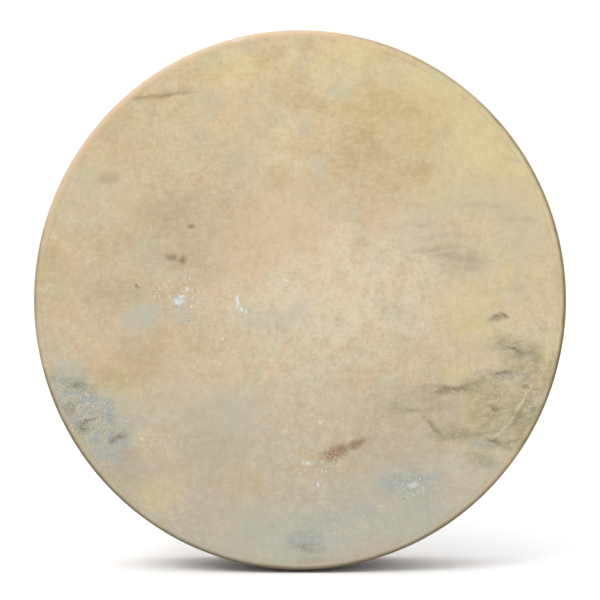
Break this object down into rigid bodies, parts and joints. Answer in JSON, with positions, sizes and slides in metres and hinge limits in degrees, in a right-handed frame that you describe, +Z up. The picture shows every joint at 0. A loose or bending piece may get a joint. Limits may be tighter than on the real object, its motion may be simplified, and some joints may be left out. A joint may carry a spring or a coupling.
{
  "type": "frame drum",
  "caption": "Round hand-held frame drum: a goatskin head tacked over a shallow bent-wood hoop, with crossed grip bars behind it.",
  "frame": {"origin": "the middle of the drum: on the hoop's axis, halfway between the playing face and the back rim", "axes": "-Y out of the playing face of the head, +Y out of the open back, +Z up along the upright crossbar, +X to the right for someone who looks at the head"},
  "size_m": [0.456, 0.0904, 0.4622],
  "materials": {
    "steam_bent_ash": "satin oiled, grain along the hoop",
    "beech": "satin oiled",
    "goatskin": "natural, mottled, thin and translucent",
    "brown_leather": "matt",
    "brass": "slightly tarnished"
  },
  "bodies": {
    "root": {"shell": "steam_bent_ash", "head": "goatskin", "trim_strip": "brown_leather", "upright_crossbar": "beech", "level_crossbar": "beech", "lap_screw": "brass", "tack_01": "brass", "tack_02": "brass", "tack_03": "brass", "tack_04": "brass", "tack_05": "brass", "tack_06": "brass", "tack_07": "brass", "tack_08": "brass", "tack_09": "brass", "tack_10": "brass", "tack_11": "brass", "tack_12": "brass", "tack_13": "brass", "tack_14": "brass", "tack_15": "brass", "tack_16": "brass", "tack_17": "brass", "tack_18": "brass", "tack_19": "brass", "tack_20": "brass", "tack_21": "brass", "tack_22": "brass", "tack_23": "brass", "tack_24": "brass", "tack_25": "brass", "tack_26": "brass", "tack_27": "brass", "tack_28": "brass", "cup_washer_1": "brass", "cup_washer_2": "brass", "cup_washer_3": "brass", "cup_washer_4": "brass", "end_screw_1": "brass", "end_screw_2": "brass", "end_screw_3": "brass", "end_screw_4": "brass"}
  },
  "joints": []
}
